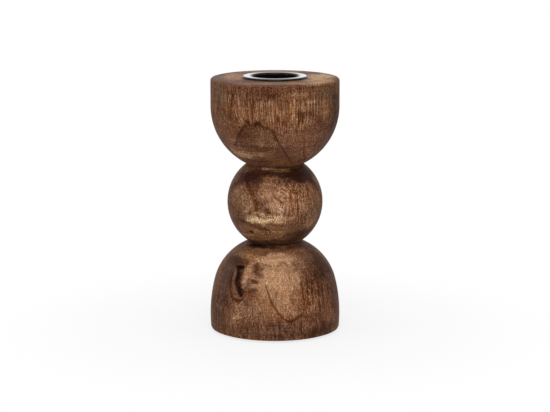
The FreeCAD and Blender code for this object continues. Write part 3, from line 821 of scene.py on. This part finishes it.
# where each point lies in the grain, so that a noise drawn there bends as the grain does
def grainPlaces(points):
    grain = points.copy()
    for turn, height, size, parting, swirl in bends:
        place, across, up, out = onWood(turn, height)
        offset = grain - place
        right, above = offset @ across, offset @ up
        # a bend is a little taller than wide and has nearly run out at its size
        pull = np.exp(-(right**2 + 0.6 * above**2) / (2 * (size / 1.6) ** 2))
        pull *= offset @ out > -reachIn["bend"]
        angle = math.radians(swirl) * pull
        aside = right * (np.cos(angle) * (1 - parting * pull) - 1) - above * np.sin(angle)
        lift = right * np.sin(angle) + above * (np.cos(angle) - 1)
        grain = grain + np.outer(aside, across) + np.outer(lift, up)
    # the grain is straighter up on the bowl, from 100 mm up
    unrest = 0.35 + 0.65 * smooth((100 - points[:, 2]) / 12)
    sway = unrest * wander(points, *woodWanders["sway"])
    shake = unrest * wander(points, *woodWanders["shake"])
    return grain + np.column_stack([sway + shake, 0.8 * sway - shake, shake])


# how much of a thing each point has: what all the wood has, and what the zones add to it
def amounts(points, zones, start):
    total = np.full(len(points), start)
    for *oval, amount in zones:
        total += amount * inPatch(points, *oval)
    return np.clip(total, 0, 1)


# Mango, turned and sanded, with a dark water stain under thin satin lacquer. The stain
# sinks into open pores and the ends of the fibres and leaves dense patches pale, so the
# eye reads dark dashes along the grain, a fine grit, reddish lines and blotches.
lacquerMango = {
    # noises along the grain: width and length in mm, detail, roughness. Real fibres and
    # pores are about 0.2 wide and are drawn wider, to show.
    "noises": {
        "band": (2.4, 45.0, 3, 0.6),
        "mottle": (3.6, 5.8, 4, 0.65),
        "line": (0.5, 16.0, 2, 0.6),
        "fibre": (0.5, 5.0, 2, 0.6),
        "grit": (0.45, 0.8, 2, 0.7),
        "fleck": (0.7, 1.5, 2, 0.7),
        "lathe": (30.0, 0.55, 1, 0.5),     # the marks that sanding on the lathe leaves
    },
    # how much each darkens the stain, as a power of e, and what part of that it lightens it by
    "swings": {"band": 0.2, "mottle": 0.22, "line": 1.0, "fibre": 0.65, "lathe": 0.2, "grit": 1.12},
    "lighter": 0.6,
    "noiseSpan": (0.28, 0.72),   # between these lie most values of a noise
    "calmShare": 0.5,            # how much of the grain dense wood keeps
    # from how strong the pores run there to how much the lines and pores darken
    "lineSpan": (0.15, 0.9, 0.2, 1.0),
    "pore": (0.75, 4.0),         # width and length in mm
    "poreSpan": (0.15, 0.45),    # a pore's dark middle and its edge, in widths
    "poreDark": 0.75,
    "seamSpan": (0.3, 1.6),      # the same of a fine line
    "seamDark": 1.25,
    "seamBreaks": (0.3, 0.6, 0.6, 1.0),  # the grit makes it uneven
    "fleckSpan": (0.5, 0.62),
    "fleckPale": 0.55,
    "palest": 0.4,               # how pale the grain gets, and how softly it stops there
    "palestSoft": 0.3,
    "tint": (0.72, 1.07, 1.58),  # dark grain is redder, pale grain greyer
    "roughness": 0.5,
    "poreRoughness": 0.68,
    "barkDull": 0.3,             # how much rougher the void is
    "specular": 0.045,
    "reliefDepth": 0.12,         # mm
    "fibreRelief": 0.35,
}


def stainedMango(look):
    material, add = newMaterial("stained_mango_turned_satin_lacquer")
    fields = [{"attribute_name": name} for name in ("grain", "stain", "figure", "seam")]
    grain, stain, figure, seam = [add("Attribute", field).outputs["Vector"] for field in fields]
    still = add("TexCoord").outputs["Object"]
    still = add("VectorMath", scaled, _0=still, Scale=1 / mm)
    lines, flecks, calm = add("SeparateXYZ", Vector=figure).outputs
    seamAcross, seamDarkness, cave = add("SeparateXYZ", Vector=seam).outputs

    noises = {}
    for name, (width, length, detail, rough) in look["noises"].items():
        place = still if name == "lathe" else grain
        place = add("VectorMath", times, _0=place, _1=(1 / width, 1 / width, 1 / length))
        noises[name] = add("TexNoise", Vector=place, Scale=1, Detail=detail, Roughness=rough)

    loud = add("MapRange", Value=calm, To_Min=1.0, To_Max=look["calmShare"])
    low, high, least, most = look["lineSpan"]
    lined = add("MapRange", Value=lines, From_Min=low, From_Max=high, To_Min=least, To_Max=most)
    lined = add("Math", times, _0=lined, _1=loud)
    shares = {"line": lined, "fibre": loud, "grit": loud, "mottle": loud}
    low, high = look["noiseSpan"]
    depth = 0.0
    for name, swing in look["swings"].items():
        level = add(
            "MapRange", eased, Value=noises[name],
            From_Min=low, From_Max=high, To_Min=-swing, To_Max=look["lighter"] * swing,
        )
        depth = add("Math", timesPlus, _0=level, _1=shares.get(name, 1.0), _2=depth)

    width, length = look["pore"]
    place = add("VectorMath", times, _0=grain, _1=(1 / width, 1 / width, 1 / length))
    pore = add("TexVoronoi", Vector=place, Scale=1).outputs["Distance"]
    middle, edge = look["poreSpan"]
    pore = add("MapRange", eased, Value=pore, From_Min=edge, From_Max=middle)
    pore = add("Math", times, _0=pore, _1=lined)
    depth = add("Math", timesPlus, _0=pore, _1=-look["poreDark"], _2=depth)

    middle, edge = look["seamSpan"]
    seamLine = add("Math", {"operation": "ABSOLUTE"}, _0=seamAcross)
    seamLine = add("MapRange", eased, Value=seamLine, From_Min=edge, From_Max=middle)
    seamLine = add("Math", times, _0=seamLine, _1=seamDarkness)
    low, high, least, most = look["seamBreaks"]
    broken = add(
        "MapRange", Value=noises["grit"], From_Min=low, From_Max=high, To_Min=least, To_Max=most
    )
    seamLine = add("Math", times, _0=seamLine, _1=broken)
    depth = add("Math", timesPlus, _0=seamLine, _1=-look["seamDark"], _2=depth)

    low, high = look["fleckSpan"]
    fleck = add(
        "MapRange", Value=noises["fleck"], From_Min=low, From_Max=high, To_Max=look["fleckPale"]
    )
    depth = add("Math", timesPlus, _0=fleck, _1=flecks, _2=depth)

    # the stain with its painted shade and sheen, times e to the power of what the grain adds up to
    depth = add("Math", {"operation": "SMOOTH_MIN"}, _0=depth, _1=look["palest"], _2=look["palestSoft"])
    power = add("VectorMath", scaled, _0=look["tint"], Scale=depth)
    factor = add("VectorMath", {"operation": "POWER"}, _0=[math.e] * 3, _1=power)
    colour = add("VectorMath", times, _0=stain, _1=factor)

    relief = add("Math", timesPlus, _0=noises["fibre"], _1=look["fibreRelief"], _2=pore)
    relief = add("Math", {"operation": "ADD"}, _0=relief, _1=seamLine)
    bump = add("Bump", {"invert": True}, Strength=0.6, Distance=look["reliefDepth"] * mm, Height=relief)
    roughness = add("MapRange", Value=pore, To_Min=look["roughness"], To_Max=look["poreRoughness"])
    roughness = add("Math", timesPlus, _0=cave, _1=look["barkDull"], _2=roughness)
    finish = add(
        "BsdfPrincipled", Base_Color=colour, Roughness=roughness, IOR=1.5,
        Specular_IOR_Level=look["specular"], Normal=bump,
    )
    add("OutputMaterial", Surface=finish)
    return material


wood = newPiece("turned_wood", woodPoints * mm, woodFaces, stainedMango(lacquerMango))


# gives every point of the wood a value that its material reads
def addAttribute(name, kind, field, values):
    attribute = wood.data.attributes.new(name, kind, "POINT")
    attribute.data.foreach_set(field, np.ascontiguousarray(values, np.float32).ravel())


print("staining the wood")
colours = stainShadeSheenColours(restPoints)
# the stain attribute carries the painted shade and sheen as well
addAttribute("stain", "FLOAT_COLOR", "color", np.hstack([colours, np.ones((len(colours), 1))]))
addAttribute("grain", "FLOAT_VECTOR", "vector", grainPlaces(restPoints))
addAttribute("seam", "FLOAT_VECTOR", "vector", np.column_stack([*seamField(restPoints), cave]))
# the zones, and how much of the fine pores, of flecks and of calm all the wood has
figures = ((poreLines, 0.25), (fleckZones, 0.1), (calmZones, 0.0))
figure = np.column_stack([amounts(restPoints, zones, start) for zones, start in figures])
addAttribute("figure", "FLOAT_VECTOR", "vector", figure)
wood.data.shade_smooth()
sharpFrom = 35    # degrees between two faces from which their edge is sharp
wood.data.set_sharp_from_angle(angle=math.radians(sharpFrom))
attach(wood, "root")
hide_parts("turned_body")
print("wood:", len(wood.data.vertices), "points,", len(wood.data.polygons), "faces")

# Felt: needled wool felt, cut to a disc. Loose fibres cross on a dull face and the cut
# edge is slightly ragged.
feltDisc = {
    "rings": 26,
    "turns": 180,
    "ragged": 0.18,          # how far in the cut edge wanders, and below it that wander
    "raggedWander": (0.5, 2.5, 1, 31),
    "edgeRound": 0.3,
    "dimple": 0.06,          # the same for how far up its underside does
    "dimpleWander": (0.5, 3, 1, 32),
    "fibreWidth": 0.35,      # mm; wool is 0.02 across, drawn wider to show
    "fibreLength": 2.5,
    "lays": (0.4, 1.5, 2.6),     # the ways that the fibres lie, in radians
    "colour": "#17171a",
    "fibreColour": "#34343a",
    "sheenColour": "#6a6a70",
}


def woolFelt(look):
    material, add = newMaterial("black_wool_felt_needled")
    place = add("TexCoord").outputs["Object"]
    width, length = look["fibreWidth"] * mm, look["fibreLength"] * mm
    strands = 0.0
    for turn in look["lays"]:
        lay = add("Mapping", Vector=place, Rotation=(0, 0, turn))
        lay = add("VectorMath", times, _0=lay, _1=(1 / width, 1 / length, 1 / width))
        lay = add("TexNoise", Vector=lay, Scale=1, Detail=2, Roughness=0.6, Distortion=0.6)
        strands = add("Math", greater, _0=strands, _1=lay)
    amount = add("MapRange", Value=strands, From_Min=0.5, From_Max=0.75)
    colour = add("Mix", asColour, _0=amount, _6=look["colour"], _7=look["fibreColour"]).outputs[2]
    bump = add("Bump", Strength=0.8, Distance=0.1 * mm, Height=strands)
    finish = add(
        "BsdfPrincipled", Base_Color=colour, Roughness=0.95, Normal=bump,
        Sheen_Weight=0.35, Sheen_Roughness=0.5, Sheen_Tint=look["sheenColour"],
    )
    add("OutputMaterial", Surface=finish)
    return material


def cutFelt(cut):
    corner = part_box("base_felt")[1]
    radius, thick = corner.x / mm, corner.z / mm
    turns = np.linspace(0, 2 * math.pi, cut["turns"], endpoint=False)
    circle = np.column_stack([np.cos(turns), np.sin(turns), 0 * turns])
    edge = radius - cut["ragged"] * (0.5 + wander(circle * radius, *cut["raggedWander"]))
    shares = [*np.linspace(0, 1, cut["rings"])[1:-1], 1 - cut["edgeRound"] / radius]
    profile = [(share, 0) for share in shares] + [(1, cut["edgeRound"]), (1, thick - cut["edgeRound"])]
    profile += [(share, thick) for share in shares[::-1]]
    points, faces = stackRings(edge[:, None] * circle[:, :2], profile, (0, thick))
    under = points[:, 2] < thick / 2
    dimples = cut["dimple"] * (0.5 + wander(points[under], *cut["dimpleWander"]))
    points[under, 2] += dimples * (np.hypot(*points[under, :2].T) > 0)
    points[under, 2] -= points[under, 2].min()
    return points, faces


feltPoints, feltFaces = cutFelt(feltDisc)
felt = newPiece("felt_disc", feltPoints * mm, feltFaces, woolFelt(feltDisc))
felt.data.shade_smooth()
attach(felt, "root")
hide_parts("base_felt")
print("felt cut")

# Cup: drawn mild steel, stoved with black gloss enamel. The eye gets a near-black skin
# with a clear highlight, faintly uneven where the enamel ran.
cupEnamel = {
    "colour": "#0b0b0c",
    "roughness": 0.09,
    "specular": 0.1,
    "flow": 1.6,         # mm from one swell of the enamel to the next, and their depth
    "flowDepth": 0.006,
    "grit": 0.35,        # mm from one duller speck to the next
}


def blackEnamel(look):
    material, add = newMaterial("black_gloss_enamel_stoved_on_drawn_steel")
    place = add("TexCoord").outputs["Object"]
    flow = add("TexNoise", Vector=place, Scale=1 / (look["flow"] * mm), Detail=1, Roughness=0.4)
    grit = add("TexNoise", Vector=place, Scale=1 / (look["grit"] * mm), Detail=2, Roughness=0.6)
    rough = look["roughness"]
    roughness = add("MapRange", Value=grit, From_Min=0.4, From_Max=0.75, To_Min=rough, To_Max=rough * 2)
    bump = add("Bump", Strength=0.5, Distance=look["flowDepth"] * mm, Height=flow)
    finish = add(
        "BsdfPrincipled", Base_Color=look["colour"], Roughness=roughness, IOR=1.5,
        Specular_IOR_Level=look["specular"], Normal=bump,
    )
    add("OutputMaterial", Surface=finish)
    return material


# Screw: mild steel with bright zinc plating, passivated. Pale grey metal, softly blurred
# by fine turned rings, with a faint blue and straw tint.
screwPlating = {
    "colour": "#b9bcc0",
    "tint": "#b3ad98",
    "roughness": 0.3,
    "ring": 0.22,        # mm; the rings are 2 pi times this apart, coarser than real ones
    "cloud": 1.5,
}


def zincPlate(look):
    material, add = newMaterial("zinc_plated_mild_steel_turned")
    place = add("TexCoord").outputs["Object"]
    cloud = add("TexNoise", Vector=place, Scale=1 / (look["cloud"] * mm), Detail=3)
    # the wave node multiplies its scale by 20
    rings = add(
        "TexWave", {"wave_type": "RINGS", "rings_direction": "Z"}, Vector=place,
        Scale=1 / (look["ring"] * mm) / 20, Distortion=0.4,
    ).outputs["Fac"]
    colour = add("Mix", asColour, _0=cloud, _6=look["colour"], _7=look["tint"]).outputs[2]
    roughness = add("MapRange", Value=cloud, To_Min=look["roughness"], To_Max=look["roughness"] * 1.6)
    bump = add("Bump", Strength=0.3, Distance=0.01 * mm, Height=rings)
    finish = add("BsdfPrincipled", Base_Color=colour, Metallic=1.0, Roughness=roughness, Normal=bump)
    add("OutputMaterial", Surface=finish)
    return material


finishes = (("candle_cup", blackEnamel(cupEnamel)), ("cup_screw", zincPlate(screwPlating)))
for nodeName, material in finishes:
    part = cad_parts[nodeName]
    part.data.materials.clear()
    part.data.materials.append(material)
print("cup and screw finished")

# Stage: a white table and white surroundings, a large lamp overhead, two soft
# boxes, and two small lamps behind that brighten the ends of the cup's rim.
stage = {
    "floorSize": 6.0,
    "floorColour": "#f2f2f2",
    "floorShade": 0.25,   # how much of the floor's own shade the view shows over white
    "shadeReach": 0.16,   # how far from the holder it shows, in metres
    "fill": 0.3,
}
lamps = [
    # name, place, size across and up, in metres, watts; each looks at the middle of the holder
    ("overhead_lamp", (0.0, -0.85, 1.0), (0.8, 0.6), 10.0),
    ("rim_lamp_left", (-0.047, 1.2, 0.273), (0.052, 0.13), 0.028),
    ("rim_lamp_right", (0.047, 1.2, 0.273), (0.052, 0.13), 0.028),
    ("left_box", (-0.95, -0.55, 0.35), (0.25, 0.8), 2.2),
    ("right_box", (0.95, -0.55, 0.35), (0.25, 0.8), 1.9),
]
aim = Vector((0, 0, topHeight / 2 * mm))
for name, spot, size, watts in lamps:
    lamp = bpy.data.lights.new(name, "AREA")
    lamp.shape = "RECTANGLE"
    lamp.size, lamp.size_y = size
    lamp.energy = watts
    lampObject = newObject(name, lamp)
    lampObject.location = spot
    lampObject.rotation_euler = (aim - lampObject.location).to_track_quat("-Z", "Y").to_euler()


def paleTable(look):
    material, add = newMaterial("white_laminate_pressed")
    seenDirectly = add("LightPath").outputs["Is Camera Ray"]
    laminate = add("BsdfPrincipled", Base_Color=look["floorColour"], Roughness=0.7)
    white = add("Emission", Color=(1, 1, 1, 1))
    place = add("TexCoord").outputs["Object"]
    far = add("VectorMath", {"operation": "LENGTH"}, _0=place).outputs["Value"]
    least = 1 - look["floorShade"]
    whiteShare = add("MapRange", eased, Value=far, From_Max=look["shadeReach"], To_Min=least)
    share = add("Math", times, _0=seenDirectly, _1=whiteShare)
    both = add("MixShader", _0=share, _1=laminate, _2=white)
    add("OutputMaterial", Surface=both)
    return material


side = stage["floorSize"] / 2
corners = [(-side, -side, 0), (side, -side, 0), (side, side, 0), (-side, side, 0)]
floor = newPiece("table", corners, [(0, 1, 2, 3)], paleTable(stage))

world = bpy.data.worlds.new("white_surroundings")
world.use_nodes = True
world.node_tree.nodes.clear()
add = partial(addNode, world.node_tree)
path = add("LightPath").outputs
seen = add("Math", greater, _0=path["Is Camera Ray"], _1=path["Is Glossy Ray"])
seen = add("Math", greater, _0=seen, _1=path["Is Transmission Ray"])
strength = add("MapRange", Value=seen, To_Min=stage["fill"])
background = add("Background", Color=(1, 1, 1, 1), Strength=strength)
add("OutputWorld", Surface=background)
bpy.context.scene.world = world
bpy.context.scene.view_settings.view_transform = "Standard"

# Camera: a metre in front of the holder and looking slightly down on it.
view = {"distance": 1.0, "height": 0.24906, "pitch": 0.18529, "lens": 135.295, "sensor": 36.0}
camera = bpy.data.cameras.new("photograph_view")
camera.lens = view["lens"]
camera.sensor_width = view["sensor"]
cameraObject = newObject("photograph_view", camera)
cameraObject.location = (0, -view["distance"], view["height"])
cameraObject.rotation_euler = (math.pi / 2 - view["pitch"], 0, 0)
bpy.context.scene.camera = cameraObject
print("stage, lamps and camera set")
